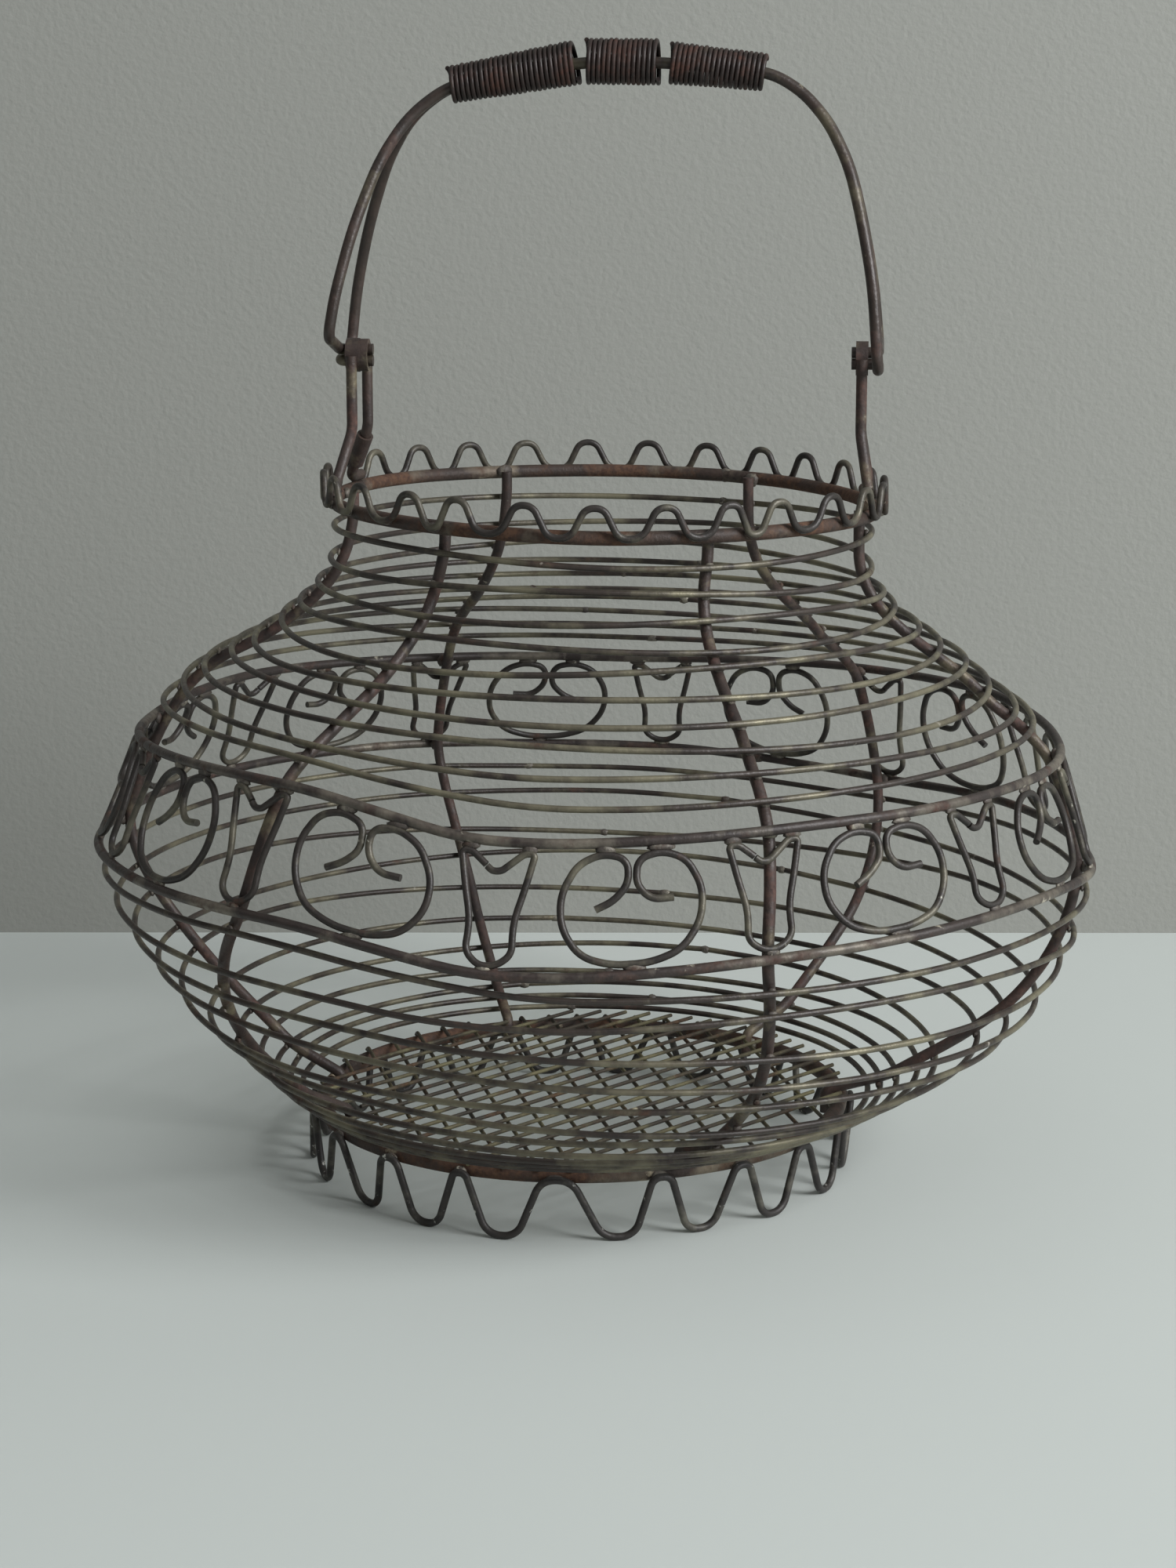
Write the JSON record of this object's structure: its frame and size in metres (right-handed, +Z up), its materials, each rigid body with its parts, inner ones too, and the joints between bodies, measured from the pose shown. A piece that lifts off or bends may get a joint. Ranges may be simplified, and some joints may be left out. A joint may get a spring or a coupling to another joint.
{
  "type": "wire gathering basket",
  "caption": "Round-bellied iron wire basket on a scalloped foot, with scroll ornaments, a netting base and a swinging double-wire bail with a coiled grip.",
  "frame": {"origin": "centre of the basket's footprint on the table, at the lowest points of the foot loops", "axes": "+Z up, X along the bail's swing axis from the left lug (the one with the crimped sleeve) to the right lug, +Y to the back"},
  "size_m": [0.302, 0.302, 0.3377],
  "materials": {
    "hoop_iron": "rusted and worn wire",
    "band_iron": "rusted and worn wire",
    "rib_iron": "rusted and worn wire",
    "thin_wire": "rusted and worn wire",
    "scroll_wire": "rusted and worn wire",
    "scallop_wire": "rusted and worn wire",
    "net_wire": "rusted and worn wire",
    "lug_iron": "rusted and worn wire",
    "grip_wire": "rusted and worn wire",
    "bail_iron": "rusted and worn wire"
  },
  "bodies": {
    "basket": {"apple_scroll_1": "scroll_wire", "apple_scroll_10": "scroll_wire", "apple_scroll_11": "scroll_wire", "apple_scroll_12": "scroll_wire", "apple_scroll_2": "scroll_wire", "apple_scroll_3": "scroll_wire", "apple_scroll_4": "scroll_wire", "apple_scroll_5": "scroll_wire", "apple_scroll_6": "scroll_wire", "apple_scroll_7": "scroll_wire", "apple_scroll_8": "scroll_wire", "apple_scroll_9": "scroll_wire", "base_net_lower_lay": "net_wire", "base_net_upper_lay": "net_wire", "base_ring": "hoop_iron", "bay_tulips": "scroll_wire", "belly_ring_1": "thin_wire", "belly_ring_10": "thin_wire", "belly_ring_11": "thin_wire", "belly_ring_2": "thin_wire", "belly_ring_3": "thin_wire", "belly_ring_4": "thin_wire", "belly_ring_5": "thin_wire", "belly_ring_6": "thin_wire", "belly_ring_7": "thin_wire", "belly_ring_8": "thin_wire", "belly_ring_9": "thin_wire", "foot_scallop": "scallop_wire", "left_lug": "lug_iron", "left_lug_sleeve": "lug_iron", "lower_band_ring": "band_iron", "neck_ring_1": "thin_wire", "neck_ring_10": "thin_wire", "neck_ring_2": "thin_wire", "neck_ring_3": "thin_wire", "neck_ring_4": "thin_wire", "neck_ring_5": "thin_wire", "neck_ring_6": "thin_wire", "neck_ring_7": "thin_wire", "neck_ring_8": "thin_wire", "neck_ring_9": "thin_wire", "rib_1": "rib_iron", "rib_2": "rib_iron", "rib_3": "rib_iron", "rib_4": "rib_iron", "rib_5": "rib_iron", "rib_6": "rib_iron", "rib_tulips": "scroll_wire", "right_lug": "lug_iron", "rim_ring": "hoop_iron", "rim_scallop": "scallop_wire", "upper_band_ring": "band_iron"},
    "bail": {"bail_front_wire": "bail_iron", "bail_back_wire": "bail_iron", "grip_coil_left": "grip_wire", "grip_coil_middle": "grip_wire", "grip_coil_right": "grip_wire"}
  },
  "joints": [
    {"name": "bail_swing", "type": "hinge", "parent": "basket", "child": "bail", "pos_m": [0.00405, 0, 0.2457], "axis": [1, 0, 0], "range_deg": [-99, 99]}
  ]
}
